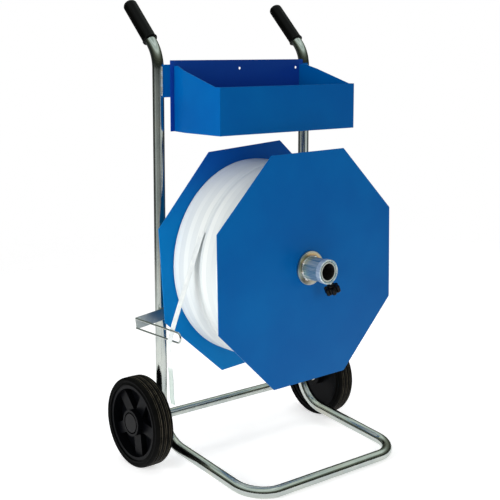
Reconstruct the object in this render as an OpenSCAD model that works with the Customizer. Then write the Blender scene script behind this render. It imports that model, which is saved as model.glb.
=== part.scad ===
// Mobile dispenser for a roll of plastic strap: a bent-tube cart on two wheels,
// a reel between two octagonal plates and a tool tray under the handles.
// +Z is up, the front bar is at -Y, and the wheel axle lies along X.
// The origin is on the floor, in the middle of the footprint.

/* [Cart frame] */
// Distance between the centre lines of the two uprights
upright_span = 426; // [390:2:470]
// Outside diameter of the bent frame tube
tube_d = 25; // [22:0.5:30]
// Wall of the frame tube
tube_wall = 2; // [1.5:0.5:3]
// Height over the tray's top at which the lines of upright and handle would cross
handle_rise = 15; // [0:1:100]
// Length of the handle from that crossing to the tip of the grip
handle_len = 154; // [150:1:220]
// Angle of the handle from the vertical
handle_angle = 45; // [30:1:60]
// Distance from the uprights forward to the front bar
foot_reach = 326; // [300:2:400]
// Slope of the feet
foot_slope = 6.6; // [4:0.1:9]
// Centre-line radius of the bends at the handles and at the feet
side_bend_r = 80; // [60:1:90]
// Centre-line radius of the two front corners
corner_bend_r = 65; // [50:1:90]

/* [Grips] */
// Wall of a grip
grip_wall = 3; // [2:0.5:5]
// Length of a grip
grip_len = 114; // [90:1:115]
// Distance that the flange at a grip's lower end stands out
grip_lip = 1.5; // [1:0.5:6]
// Rounding of the closed end of a grip
grip_round = 9; // [4:0.5:11]
// Thickness of the closed end of a grip
grip_cap_t = 4; // [3:0.5:6]

/* [Wheels] */
// Diameter of a wheel
wheel_d = 200; // [180:2:220]
// Width of a tyre
tyre_w = 45; // [36:1:50]
// Clear distance between a wheel's hub and the frame tube
wheel_gap = 22.5; // [12:0.5:40]
// Height of a tyre over its rim
tyre_h = 17; // [13:0.5:22]
// Radial thickness of the rim's ring
rim_t = 7; // [5:0.5:9]
// Diameter of the hub cup
hub_cup_d = 58; // [50:1:64]
// Length of the hub
wheel_hub_len = 49; // [44:1:52]
// Number of spokes
spoke_count = 5; // [4:1:7]
// Width of a spoke
spoke_w = 26; // [16:1:30]
// Diameter of the axle rod
axle_d = 15; // [12:0.5:17]
// Wall of the cross tube around the axle
axle_tube_wall = 2; // [1.5:0.5:3]

/* [Reel] */
// Height of the reel's axis above the floor
reel_z = 449; // [440:1:470]
// Size of the octagonal plates across their flats
plate_af = 500; // [460:2:510]
// Thickness of the octagonal plates
plate_t = 2; // [1.5:0.5:3]
// Play between the wound strap and each plate
coil_play = 1; // [0.5:0.5:10]
// Distance from the uprights' centre plane to the back plate's rear face
back_plate_depth = 56; // [54:1:64]
// Angle by which the back plate stands turned
back_plate_turn = 4; // [0:1:45]
// Angle by which the front plate stands turned
front_plate_turn = 1; // [0:1:45]
// Outside diameter of the wound strap
coil_d = 442; // [300:2:450]
// Inside diameter of the cardboard core
core_d = 200; // [196:1:204]
// Wall of the cardboard core
core_wall = 6; // [4:0.5:8]
// Width of the wound strap and of its core
coil_w = 190; // [160:1:190]
// Outside diameter of the spindle tube
spindle_d = 42; // [40:0.5:46]
// Wall of the spindle tube
spindle_wall = 3; // [2:0.5:4]
// Diameter of the fixed stub axle
stub_d = 20; // [16:1:24]

/* [Hub and clamp] */
// Width of the hub flanges' rings outside the sleeve
hub_flange_w = 12; // [11:0.5:18]
// Thickness of the hub flanges
hub_flange_t = 5; // [4:0.5:6]
// Wall of the sleeve on the front plate
sleeve_wall = 3.95; // [2.95:0.5:4.95]
// Distance from the front plate to the outer face of the collar
hub_len = 60; // [50:1:80]
// Radial thickness of the collar
collar_t = 1.5; // [1:0.5:6]
// Width of the collar
collar_w = 13; // [12:0.5:20]
// Diameter of the clamping stud
stud_d = 8; // [6:1:8]
// Direction of the clamping stud, in degrees from straight down
stud_angle = 22.5; // [0:0.5:90]
// Diameter of the star knob over its lobes
knob_d = 35; // [30:1:42]
// Number of lobes of the star knob
knob_lobes = 6; // [5:1:7]

/* [Tool tray] */
// Distance from an upright's centre line to the side of the tray's back panel
tray_side_gap = 20; // [18:1:33]
// Distance the back panel stands out past the box at each side
tray_flange = 10; // [6:1:14]
// Depth of the tray
tray_depth = 173; // [140:1:200]
// Height of the tray's underside over the level edges of the plates
tray_rise = 38; // [25:1:60]
// Height of the tray's front
tray_front_h = 100; // [80:1:110]
// Height of the tray's sides at the back
tray_side_h = 141; // [120:1:150]
// Height of the tray's back panel
tray_back_h = 153; // [151:1:170]
// Thickness of the tray's sheet
tray_t = 1.5; // [1:0.5:2]
// Diameter of the three hanging holes
tray_hole_d = 6; // [4:0.5:8]
// Distance from the back panel's side to the outer hanging hole
tray_hole_inset = 22; // [20:1:40]

/* [Strap guide] */
// Length of the guide's flat bar
guide_len = 88; // [70:1:90]
// Height of the guide's flat bar
guide_h = 26; // [24:1:32]
// Angle by which the flat bar slopes down outwards
guide_slope = 7.5; // [0:0.5:10]
// Height of the upper strand of the wire loop
guide_z = 337; // [330:1:345]
// Distance between the strands of the wire loop
guide_pitch = 21; // [20:0.5:24]
// Thickness of the wire
wire_d = 4; // [3:0.5:4]
// Length of the straight strands of the wire
guide_reach = 150; // [130:1:160]
// Width of the plastic strap
strap_w = 15.5; // [12:0.5:19]
// Thickness of the plastic strap
strap_t = 0.8; // [0.5:0.1:1]

/* [Hidden] */
$fn = 64;
eps = 1;                    // overshoot of a cut past the face it opens
fit = 0.05;                 // radial clearance of a running fit
loose = 0.2;                // radial clearance of a bolt or rod in its hole
gap = 0.3;                  // clearance between faces that move past each other

// Frame tube: it draws in a little where it is bent
tube_r = tube_d / 2;
tube_bore = tube_d - 2 * tube_wall;
bend_draw = 0.05;
bend_bore = tube_bore + 2 * bend_draw;
bend_lap = 0.5;             // overlap of a straight length with the bend after it
upright_x = upright_span / 2;
tray_z = reel_z + plate_af / 2 + tray_rise;
handle_corner_z = tray_z + tray_back_h + handle_rise;
foot_corner_z = tube_r + foot_reach * tan(foot_slope);
foot_len = foot_reach / cos(foot_slope);
foot_turn = 90 - foot_slope;
foot_tangent = side_bend_r * tan(foot_turn / 2);
handle_tangent = side_bend_r * tan(handle_angle / 2);
upright_low = foot_corner_z + foot_tangent;
upright_high = handle_corner_z - handle_tangent;

// Grips
grip_d = tube_d + 2 * grip_wall;
grip_flange_d = grip_d + 2 * grip_lip;

// The footprint runs from the front bar to the tips of the grips
front_reach = foot_reach + tube_r;
tip_round = grip_round + (grip_d / 2 - grip_round) * cos(handle_angle);
rear_reach = (handle_len - grip_round) * sin(handle_angle) + tip_round;
upright_y = (front_reach - rear_reach) / 2;

// Wheels
axle_z = wheel_d / 2;
wheel_x = upright_x + tube_r + wheel_gap + wheel_hub_len / 2;
rim_r = wheel_d / 2 - tyre_h;
hub_in = wheel_x - wheel_hub_len / 2;
hub_out = wheel_x + wheel_hub_len / 2;
bearing_d = axle_d + 10;
cup_depth = 8;              // recess in the hub's outer end
cup_wall = 5;
bearing_out = hub_out - cup_depth;
washer_t = 2;
washer_d = axle_d + 15;
cap_d = washer_d + 12;      // the caps cover the washers
cap_t = 1;
axle_end = hub_out - 2;
axle_tube_play = 0.5;       // radial play of the axle rod in its cross tube
axle_tube_bore = axle_d + 2 * axle_tube_play;
axle_tube_d = axle_tube_bore + 2 * axle_tube_wall;
spacer_d = axle_d + 7;
tread_groove_w = 2.5;
tread_groove_depth = 2.5;
tread_grooves = 3;
tyre_shoulder_r = 7;
web_t = 14;                 // thickness of the spokes along the axle
disc_t = 3;                 // thickness of the closed disc behind the spokes
web_set_back = 10;          // recess of the spokes behind the rim's outer edge
rim_w = tyre_w - 5;
first_spoke = 280;          // angle of the first spoke, seen along the axle

// Reel: depths are measured forward from the uprights' centre plane
plate_gap = coil_w + 2 * coil_play;
sleeve_bore = spindle_d + 2 * fit;
sleeve_d = sleeve_bore + 2 * sleeve_wall;
collar_d = sleeve_d + 2 * collar_t;
hub_flange_d = sleeve_d + 2 * hub_flange_w;
back_front = back_plate_depth + plate_t;
front_rear = back_front + plate_gap;
front_front = front_rear + plate_t;
coil_start = back_front + coil_play;
collar_face = front_front + hub_len;
sleeve_end = collar_face - 1.5;
collar_mid = collar_face - collar_w / 2;
spindle_r = spindle_d / 2;
spindle_bore = spindle_d - 2 * spindle_wall;
spindle_start = back_plate_depth - hub_flange_t - 5;
back_flange_start = back_plate_depth - hub_flange_t;
bush_flange_t = 3;
bush_len = 20;
stub_end = front_front + 10;
bead_r = 3.5;               // weld bead round a tube
tray_bead_r = 3;

// Cross bar and fixed stub axle
bar_h = 30;
bar_wall = 2;
mount_t = 6;
mount_w = 120;
mount_bolt_pitch = 84;
mount_bolt_d = 8;
mount_front = bar_h / 2 + mount_t;
washer_out_d = spindle_bore - 4;
end_washer_t = 2.5;
end_bolt_d = 10;
end_bolt_len = 24;
end_bolt_grip = end_bolt_len - 2;

// Fastenings of the plates
flange_bolt_d = 5;
flange_bolt_r = (hub_flange_d + sleeve_d) / 4;
core_arm_w = 25;
core_arm_t = 4;
core_arm_foot = 39;         // length of an arm's foot along the back plate
core_arm_end = coil_w - 10;
core_arm_out = sqrt(pow(core_d / 2 - gap, 2) - pow(core_arm_w / 2, 2));
core_arm_in = core_arm_out - core_arm_foot;
core_bolt_d = 6;
core_bolt_r = core_arm_in + 14;

// Clamp: radii are measured from the reel's axis along the stud
stud_tip_r = spindle_r + gap;
knob_neck_r = collar_d / 2 + 5;
knob_neck_t = 5;
knob_neck_d = stud_d + 9;
knob_head_r = knob_neck_r + knob_neck_t;
knob_head_t = 15;
lobe_d = 9;
stud_head_r = knob_head_r + 10;

// Tool tray, set on two brackets in front of the uprights
tray_w = upright_span - 2 * tray_side_gap;
bracket_t = 3;
bracket_in = tray_w / 2 - 15;
bracket_out = upright_x - 2;
bracket_z = tray_z + 74;
bracket_h = 70;
tray_rear = tube_r + bracket_t;
tray_floor_front = tray_rear + tray_depth;
tray_hole_z = tray_z + tray_back_h - 19;
tray_hole_pitch = tray_w / 2 - tray_hole_inset;
tray_crease = 52;           // depth of the narrow part behind the crease
tray_side_flat = 20;        // level part of the side's edge at the back
tray_front_flat = 16;       // level part of the side's edge at the front
stud_m6 = 6;
tray_stud_x = tray_w / 2 - 6;
tray_stud_z = [bracket_z + 18, bracket_z + bracket_h - 18];

// Strap guide
guide_t = 3;
guide_x = upright_x + 75;   // place of the wire loop, outboard of the left upright
guide_end = guide_x + 2;
guide_bend_r = guide_pitch / 2;
guide_lower_z = guide_z - guide_pitch;

// The loose end of the strap: its route leaves the coil, passes through the
// wire loop and hangs down to a cut end
tail_y = -32;
tail_route = [
    [-205, 534], [-213, 515], [-221, 496], [-229, 477], [-237, 457],
    [-245, 437], [-253, 417], [-261, 397], [-269, 377], [-277, 357],
    [-283, 341], [-288, 326], [-292, 313], [-294, 299], [-293.5, 285],
    [-292, 271], [-290.5, 257], [-289, 243], [-288, 229], [-287.5, 215],
    [-287, 201], [-286, 189], [-284, 178]
];

// Places a child whose Y is measured from the uprights' centre plane
module at_frame(z = 0) {
    translate([0, upright_y, z]) children();
}

// Places a child on the reel's axis: its z runs forward from the uprights
module at_reel(depth = 0) {
    translate([0, upright_y - depth, reel_z]) rotate([90, 0, 0]) children();
}

// Places a child on the stud's line: its z runs outwards from the reel's axis
module at_stud(r = 0) {
    at_reel(collar_mid) rotate([0, 90, stud_angle - 90]) translate([0, 0, r]) children();
}

// Places a child on the wheels' axle: its z runs along +X
module at_axle(x = 0) {
    at_frame(axle_z) translate([x, 0, 0]) rotate([0, 90, 0]) children();
}

module both_sides() {
    for (side = [-1, 1]) mirror_x(side) children();
}

module mirror_x(side) {
    if (side > 0) children();
    else mirror([1, 0, 0]) children();
}

module ring(outer, inner, h) {
    difference() {
        cylinder(d = outer, h = h);
        translate([0, 0, -eps]) cylinder(d = inner, h = h + 2 * eps);
    }
}

// Hexagon of the given size across flats
module hexagon(af, h) {
    cylinder(d = af / cos(30), h = h, $fn = 6);
}

module round_corners(w, h, r) {
    translate([r, 0]) square([w - 2 * r, h]);
    translate([0, r]) square([w, h - 2 * r]);
    for (x = [r, w - r], y = [r, h - r]) translate([x, y]) circle(r = r);
}

// One straight length of frame tube along +Z, lapped over the bends at its ends
module tube_run(len) {
    translate([0, 0, -bend_lap]) ring(tube_d, tube_bore, len + 2 * bend_lap);
}

// A bend that starts along +Z at the origin and curves towards +Y
module tube_bend(r, turn, bore) {
    rotate([90, 0, -90]) translate([-r, 0, 0]) rotate_extrude(angle = turn) translate([r, 0])
        difference() {
            circle(d = tube_d - 2 * bend_draw);
            if (bore > 0) circle(d = bore);
        }
}

module foot_bend(side, bore) {
    translate([side * upright_x, 0, upright_low]) rotate([180, 0, 0])
        tube_bend(side_bend_r, foot_turn, bore);
}

module frame_side(side) {
    translate([side * upright_x, 0, upright_low]) tube_run(upright_high - upright_low);
    translate([side * upright_x, 0, upright_high])
        tube_bend(side_bend_r, handle_angle, bend_bore);
    at_handle(side) translate([0, 0, handle_tangent])
        tube_run(handle_len - handle_tangent - grip_cap_t - bend_lap);
    foot_bend(side, bend_bore);
    at_foot(side) {
        translate([0, 0, foot_tangent]) tube_run(foot_len - foot_tangent - corner_bend_r);
        translate([0, 0, foot_len - corner_bend_r]) rotate([0, 0, side * 90])
            tube_bend(corner_bend_r, 90, bend_bore);
    }
}

// Places a child whose z runs up the handle from its crossing with the upright
module at_handle(side) {
    translate([side * upright_x, 0, handle_corner_z]) rotate([-handle_angle, 0, 0]) children();
}

// Places a child whose z runs down the foot from its crossing with the upright
module at_foot(side) {
    translate([side * upright_x, 0, foot_corner_z]) rotate([90 + foot_slope, 0, 0]) children();
}

module frame_tube() {
    bar_len = upright_span - 2 * corner_bend_r;
    color("silver") difference() {
        at_frame() {
            frame_side(-1);
            frame_side(1);
            translate([-bar_len / 2, -foot_reach, tube_r]) rotate([0, 90, 0])
                tube_run(bar_len);
        }
        at_axle(-upright_x - tube_d) cylinder(d = axle_d + 2 * loose, h = upright_span + 2 * tube_d);
    }
}

// The cross tube is coped to fit against the two foot bends
module axle_cross_tube() {
    half = upright_x - tube_r + 4;
    color("silver") difference() {
        at_axle(-half) ring(axle_tube_d, axle_tube_bore, 2 * half);
        at_frame() {
            foot_bend(-1, 0);
            foot_bend(1, 0);
        }
    }
}

module axle_rod() {
    color("silver") at_axle(-axle_end) cylinder(d = axle_d, h = 2 * axle_end);
}

module wheel_spacers() {
    color("silver") both_sides() at_axle(upright_x + tube_r)
        ring(spacer_d, axle_d, hub_in - gap - upright_x - tube_r);
}

module axle_washers() {
    color("silver") both_sides() at_axle(bearing_out + gap)
        ring(washer_d, axle_d, washer_t);
}

// Pressed steel caps on the ends of the axle
module axle_caps() {
    start = bearing_out + gap + washer_t;
    color("dimgray") both_sides() at_axle(start) difference() {
        cylinder(d = cap_d, h = hub_out - start);
        translate([0, 0, -eps]) cylinder(d = axle_d, h = axle_end - start + eps);
        translate([0, 0, -eps]) cylinder(d = cap_d - 2 * cap_t, h = eps + 2);
    }
}

// Grip with a flange at its lower end and a rounded, closed upper end
module grip(side) {
    start = handle_len - grip_len;
    flange_t = 3;
    color("black") at_frame() at_handle(side) translate([0, 0, start]) difference() {
        union() {
            cylinder(d = grip_d, h = grip_len - grip_round);
            cylinder(d = grip_flange_d, h = flange_t);
            cylinder(d = grip_d - 2 * grip_round, h = grip_len);
            translate([0, 0, grip_len - grip_round]) rotate_extrude() intersection() {
                translate([grip_d / 2 - grip_round, 0]) circle(r = grip_round);
                square([grip_d / 2, grip_round]);
            }
        }
        translate([0, 0, -eps]) cylinder(d = tube_d, h = grip_len - grip_cap_t + eps);
    }
}

module grip_left() { grip(-1); }

module grip_right() { grip(1); }

module tray_back_panel() {
    color("mediumblue") at_frame() difference() {
        translate([-tray_w / 2, -tray_rear - tray_t, tray_z]) cube([tray_w, tray_t, tray_back_h]);
        for (i = [-1, 0, 1]) translate([i * tray_hole_pitch, -tray_rear, tray_hole_z])
            rotate([90, 0, 0]) translate([0, 0, -eps])
                cylinder(d = tray_hole_d, h = tray_t + 2 * eps);
    }
}

// Plan of the box: its sides draw in by the flange behind the crease
module tray_plan(inset) {
    half = tray_w / 2 - inset;
    narrow = half - tray_flange;
    rear = -tray_rear - tray_t;
    crease = -tray_rear - tray_crease;
    front = -tray_floor_front + inset;
    polygon([
        [-narrow, rear], [-half, crease], [-half, front],
        [half, front], [half, crease], [narrow, rear]
    ]);
}

// Side view of the part of the box that is cut away above its edges
module tray_cut() {
    top = tray_z + tray_back_h + eps;
    side_top = tray_z + tray_side_h;
    front_top = tray_z + tray_front_h;
    rear = tray_rear - eps;
    slope_start = tray_rear + tray_side_flat;
    slope_end = tray_floor_front - tray_front_flat;
    translate([-tray_w, 0, 0]) rotate([90, 0, 90]) linear_extrude(2 * tray_w) polygon([
        [-rear, top], [-rear, side_top], [-slope_start, side_top], [-slope_end, front_top],
        [-tray_floor_front - eps, front_top], [-tray_floor_front - eps, top]
    ]);
}

module tray_box() {
    color("mediumblue") at_frame() difference() {
        translate([0, 0, tray_z]) linear_extrude(tray_back_h) tray_plan(0);
        translate([0, 0, tray_z + tray_t]) linear_extrude(tray_back_h) tray_inside();
        tray_cut();
    }
}

// The inside runs on past the open rear, which the back panel closes
module tray_inside() {
    tray_plan(tray_t);
    narrow = tray_w / 2 - tray_t - tray_flange;
    translate([-narrow, -tray_rear - tray_t - eps]) square([2 * narrow, 2 * eps]);
}

module tray_bracket(side) {
    stud_hole = stud_m6 + 2 * loose;
    color("mediumblue") at_frame() difference() {
        translate([side > 0 ? bracket_in : -bracket_out, -tray_rear, bracket_z])
            cube([bracket_out - bracket_in, bracket_t, bracket_h]);
        for (z = tray_stud_z) translate([side * tray_stud_x, 0, z]) rotate([90, 0, 0])
            cylinder(d = stud_hole, h = tray_rear + eps);
    }
}

module tray_bracket_left() { tray_bracket(-1); }

module tray_bracket_right() { tray_bracket(1); }

// Beads between the brackets' outer edges and the uprights
module tray_weld_beads() {
    color("lightsteelblue") both_sides() at_frame(bracket_z + 3) linear_extrude(bracket_h - 6)
        difference() {
            intersection() {
                translate([bracket_out, -tube_r]) circle(r = tray_bead_r);
                translate([bracket_out, -tray_rear]) square([tray_bead_r, tray_bead_r]);
            }
            translate([upright_x, 0]) circle(d = tube_d);
        }
}

// Weld studs on the back panel, each with its nut behind the bracket
module tray_stud_nuts() {
    nut_af = 10;
    nut_t = 5;
    color("silver") both_sides() at_frame() for (z = tray_stud_z)
        translate([tray_stud_x, -tray_rear, z]) rotate([-90, 0, 0]) {
            cylinder(d = stud_m6, h = bracket_t + nut_t + 2);
            translate([0, 0, bracket_t]) hexagon(nut_af, nut_t);
        }
}

// Square tube between the uprights that carries the reel
module reel_cross_bar() {
    half = upright_x;
    inner = bar_h - 2 * bar_wall;
    color("silver") at_frame(reel_z) difference() {
        translate([-half, -bar_h / 2, -bar_h / 2]) cube([2 * half, bar_h, bar_h]);
        translate([-half - eps, -inner / 2, -inner / 2]) cube([2 * half + 2 * eps, inner, inner]);
        for (side = [-1, 1]) {
            translate([side * upright_x, 0, -bar_h]) cylinder(d = tube_d, h = 2 * bar_h);
            translate([side * mount_bolt_pitch / 2, bar_h, 0]) rotate([90, 0, 0])
                cylinder(d = mount_bolt_d + 2 * loose, h = 2 * bar_h);
        }
    }
}

module spindle_mount() {
    color("silver") at_reel(bar_h / 2) difference() {
        translate([-mount_w / 2, -bar_h / 2, 0]) cube([mount_w, bar_h, mount_t]);
        for (side = [-1, 1]) translate([side * mount_bolt_pitch / 2, 0, -eps])
            cylinder(d = mount_bolt_d + 2 * loose, h = mount_t + 2 * eps);
    }
}

// Hexagon bolts through the mount and the cross bar, with nuts at the rear
module spindle_mount_bolts() {
    head_af = 13;
    head_t = 5.3;
    nut_t = 6.5;
    color("silver") at_reel() for (side = [-1, 1])
        translate([side * mount_bolt_pitch / 2, 0, 0]) {
            translate([0, 0, mount_front]) hexagon(head_af, head_t);
            translate([0, 0, -bar_h / 2 - nut_t - 4])
                cylinder(d = mount_bolt_d, h = mount_front + bar_h / 2 + nut_t + 4);
            translate([0, 0, -bar_h / 2 - nut_t]) hexagon(head_af, nut_t);
        }
}

module stub_axle() {
    color("silver") at_reel(mount_front) difference() {
        cylinder(d = stub_d, h = stub_end - mount_front);
        translate([0, 0, stub_end - mount_front - end_bolt_len])
            cylinder(d = end_bolt_d, h = end_bolt_len + eps);
    }
}

module spindle_spacer() {
    len = spindle_start - bush_flange_t - gap - mount_front;
    color("silver") at_reel(mount_front) ring(stub_d + 8, stub_d, len);
}

module end_washer() {
    color("silver") at_reel(stub_end) ring(washer_out_d, end_bolt_d, end_washer_t);
}

module end_bolt() {
    head_af = 17;
    head_t = 6.4;
    color("silver") at_reel(stub_end) {
        translate([0, 0, -end_bolt_grip]) cylinder(d = end_bolt_d, h = end_bolt_grip + end_washer_t);
        translate([0, 0, end_washer_t]) hexagon(head_af, head_t);
    }
}

// Flat bar welded across the front of the left upright
module guide_bar() {
    color("silver") at_frame() translate([-guide_end, -tube_r, guide_z + wire_d / 2])
        rotate([0, -guide_slope, 0]) translate([0, -guide_t, -guide_h])
            cube([guide_len, guide_t, guide_h]);
}

// Hairpin of wire that the strap runs through
module guide_wire() {
    color("silver") at_frame() translate([-guide_x, -tube_r - guide_t, 0]) {
        for (z = [guide_z, guide_lower_z]) translate([0, 0, z]) rotate([90, 0, 0])
            cylinder(d = wire_d, h = guide_reach);
        translate([0, -guide_reach + bend_lap, guide_z - guide_bend_r]) rotate([180, -90, 0])
            rotate_extrude(angle = 180) translate([guide_bend_r, 0])
                circle(d = wire_d - 2 * bend_draw);
    }
}

// Direction of the route at its point i, from the points beside it
function heading(i) =
    let (a = tail_route[max(i - 1, 0)],
         b = tail_route[min(i + 1, len(tail_route) - 1)],
         d = b - a)
    d / norm(d);

// Outline of the strap's section: half width along y, offset across the strap
strap_section = [
    [-0.5, -0.25], [-0.48, -0.5], [0.48, -0.5], [0.5, -0.25],
    [0.5, 0.25], [0.48, 0.5], [-0.48, 0.5], [-0.5, 0.25]
];

function tail_ring(i) = [
    for (s = strap_section)
        let (p = tail_route[i], d = heading(i), across = s[1] * strap_t)
        [p[0] + across * d[1], tail_y + s[0] * strap_w, p[1] - across * d[0]]
];

module strap_tail() {
    n = len(strap_section);
    rings = len(tail_route);
    points = [for (i = [0:rings - 1]) each tail_ring(i)];
    sides = [
        for (i = [0:rings - 2], j = [0:n - 1])
            [i * n + j, i * n + (j + 1) % n, (i + 1) * n + (j + 1) % n, (i + 1) * n + j]
    ];
    first = [for (j = [n - 1:-1:0]) j];
    last = [for (j = [0:n - 1]) (rings - 1) * n + j];
    color("white") polyhedron(points, concat([first], sides, [last]));
}

// Tyre section with rounded shoulders and grooves round the tread
module tyre(side) {
    r = wheel_d / 2;
    pitch = tyre_w / (tread_grooves + 1);
    color("black") at_axle(side * wheel_x - tyre_w / 2) rotate_extrude($fn = 96)
        difference() {
            union() {
                translate([rim_r, 0]) square([r - rim_r - tyre_shoulder_r, tyre_w]);
                translate([rim_r, tyre_shoulder_r])
                    square([r - rim_r, tyre_w - 2 * tyre_shoulder_r]);
                for (x = [tyre_shoulder_r, tyre_w - tyre_shoulder_r])
                    translate([r - tyre_shoulder_r, x]) circle(r = tyre_shoulder_r);
            }
            for (i = [1:tread_grooves])
                translate([r - tread_groove_depth, i * pitch - tread_groove_w / 2])
                    square([tread_groove_depth + eps, tread_groove_w]);
        }
}

module tyre_left() { tyre(-1); }

module tyre_right() { tyre(1); }

// Moulded rim: ring, disc with spokes on it and a hub whose outer end is an open cup
module rim(side) {
    web_low = rim_w / 2 - web_set_back - web_t;
    color("black") at_axle(side * wheel_x) mirror_z(side) difference() {
        union() {
            translate([0, 0, -rim_w / 2]) ring(2 * rim_r, 2 * (rim_r - rim_t), rim_w);
            translate([0, 0, -wheel_hub_len / 2]) cylinder(d = hub_cup_d - 10, h = wheel_hub_len / 2);
            cylinder(d = hub_cup_d, h = wheel_hub_len / 2);
            translate([0, 0, web_low - disc_t]) cylinder(r = rim_r - rim_t / 2, h = disc_t);
            for (i = [0:spoke_count - 1]) rotate([0, 0, first_spoke + i * 360 / spoke_count])
                translate([bearing_d / 2 + 4, -spoke_w / 2, web_low - disc_t / 2])
                    cube([rim_r - rim_t / 2 - bearing_d / 2 - 4, spoke_w, web_t + disc_t / 2]);
        }
        translate([0, 0, -wheel_hub_len]) cylinder(d = bearing_d, h = 2 * wheel_hub_len);
        translate([0, 0, wheel_hub_len / 2 - cup_depth])
            cylinder(d = hub_cup_d - 2 * cup_wall, h = cup_depth + eps);
    }
}

module mirror_z(side) {
    if (side > 0) children();
    else mirror([0, 0, 1]) children();
}

module rim_left() { rim(-1); }

module rim_right() { rim(1); }

module wheel_bearing(side) {
    len = wheel_hub_len - cup_depth;
    color("ivory") at_axle(side > 0 ? hub_in : -bearing_out)
        ring(bearing_d, axle_d + 2 * fit, len);
}

module wheel_bearing_left() { wheel_bearing(-1); }

module wheel_bearing_right() { wheel_bearing(1); }

module spindle_tube() {
    color("silver") at_reel(spindle_start)
        ring(spindle_d, spindle_bore, sleeve_end - spindle_start);
}

module bush_bore(len) {
    translate([0, 0, -eps]) cylinder(d = stub_d + 2 * fit, h = len + 2 * eps);
}

module rear_bush() {
    color("ivory") at_reel(spindle_start - bush_flange_t) difference() {
        union() {
            cylinder(d = spindle_d, h = bush_flange_t);
            cylinder(d = spindle_bore, h = bush_flange_t + bush_len);
        }
        bush_bore(bush_flange_t + bush_len);
    }
}

module front_bush() {
    color("ivory") at_reel(stub_end - gap - bush_len) difference() {
        cylinder(d = spindle_bore, h = bush_len);
        bush_bore(bush_len);
    }
}

module octagon(turn) {
    rotate([0, 0, turn + 22.5])
        cylinder(d = plate_af / cos(22.5), h = plate_t, $fn = 8);
}

// Four children on a circle, turned with their plate
module ring_of_four(r, turn, start) {
    for (i = [0:3]) rotate([0, 0, turn + start + 90 * i]) translate([r, 0, 0]) children();
}

module back_plate() {
    color("dodgerblue") at_reel(back_plate_depth) difference() {
        octagon(back_plate_turn);
        translate([0, 0, -eps]) cylinder(d = spindle_d, h = plate_t + 2 * eps);
        ring_of_four(flange_bolt_r, back_plate_turn, 0) translate([0, 0, -eps])
            cylinder(d = flange_bolt_d + 2 * loose, h = plate_t + 2 * eps);
        ring_of_four(core_bolt_r, back_plate_turn, 45) translate([0, 0, -eps])
            cylinder(d = core_bolt_d + 2 * loose, h = plate_t + 2 * eps);
    }
}

module back_flange() {
    color("silver") at_reel(back_flange_start) difference() {
        ring(hub_flange_d, spindle_d, hub_flange_t);
        ring_of_four(flange_bolt_r, back_plate_turn, 0) translate([0, 0, -eps])
            cylinder(d = flange_bolt_d + 2 * loose, h = hub_flange_t + 2 * eps);
    }
}

module bead(tube_radius) {
    rotate_extrude() translate([tube_radius, 0]) intersection() {
        circle(r = bead_r);
        square(bead_r);
    }
}

module back_weld_bead() {
    color("silver") at_reel(back_flange_start) mirror([0, 0, 1]) bead(spindle_r);
}

module back_flange_bolts() {
    head_af = 8;
    head_t = 3.5;
    nut_t = 4;
    color("silver") at_reel(back_flange_start) ring_of_four(flange_bolt_r, back_plate_turn, 0) {
        translate([0, 0, -head_t]) hexagon(head_af, head_t);
        cylinder(d = flange_bolt_d, h = hub_flange_t + plate_t + nut_t + 2);
        translate([0, 0, hub_flange_t + plate_t]) hexagon(head_af, nut_t);
    }
}

// Four angle arms that carry the core of the roll
module core_arms() {
    color("silver") at_reel(back_front) ring_of_four(0, back_plate_turn, 45) difference() {
        union() {
            translate([core_arm_in, -core_arm_w / 2, 0])
                cube([core_arm_out - core_arm_in, core_arm_w, core_arm_t]);
            translate([core_arm_out - core_arm_t, -core_arm_w / 2, 0])
                cube([core_arm_t, core_arm_w, core_arm_end]);
        }
        translate([core_bolt_r, 0, -eps])
            cylinder(d = core_bolt_d + 2 * loose, h = core_arm_t + 2 * eps);
    }
}

module core_arm_bolts() {
    head_af = 10;
    head_t = 4;
    nut_t = 5;
    color("silver") at_reel(back_plate_depth) ring_of_four(core_bolt_r, back_plate_turn, 45) {
        translate([0, 0, -head_t]) hexagon(head_af, head_t);
        cylinder(d = core_bolt_d, h = plate_t + core_arm_t + nut_t + 2);
        translate([0, 0, plate_t + core_arm_t]) hexagon(head_af, nut_t);
    }
}

module cardboard_core() {
    color("burlywood") at_reel(coil_start) ring(core_d + 2 * core_wall, core_d, coil_w);
}

module strap_coil() {
    color("white") at_reel(coil_start) ring(coil_d, core_d + 2 * core_wall, coil_w, $fn = 128);
}

module front_plate() {
    color("dodgerblue") at_reel(front_rear) difference() {
        octagon(front_plate_turn);
        translate([0, 0, -eps]) cylinder(d = sleeve_d, h = plate_t + 2 * eps);
        ring_of_four(flange_bolt_r, front_plate_turn, 0) translate([0, 0, -eps])
            cylinder(d = flange_bolt_d + 2 * loose, h = plate_t + 2 * eps);
    }
}

module front_flange() {
    color("silver") at_reel(front_front) ring(hub_flange_d, sleeve_d, hub_flange_t);
}

module stud_hole() {
    at_stud(spindle_r) cylinder(d = stud_d + 2 * fit, h = collar_d);
}

module hub_sleeve() {
    color("silver") difference() {
        at_reel(front_rear) ring(sleeve_d, sleeve_bore, sleeve_end - front_rear);
        stud_hole();
    }
}

module hub_weld_bead() {
    color("silver") at_reel(front_front + hub_flange_t) bead(sleeve_d / 2);
}

// Weld studs on the flange, each with its nut inside the plate
module front_flange_studs() {
    nut_af = 8;
    nut_t = 4;
    color("silver") at_reel(front_front) ring_of_four(flange_bolt_r, front_plate_turn, 0)
        mirror([0, 0, 1]) {
            cylinder(d = flange_bolt_d, h = plate_t + nut_t + 2);
            translate([0, 0, plate_t]) hexagon(nut_af, nut_t);
        }
}

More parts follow.
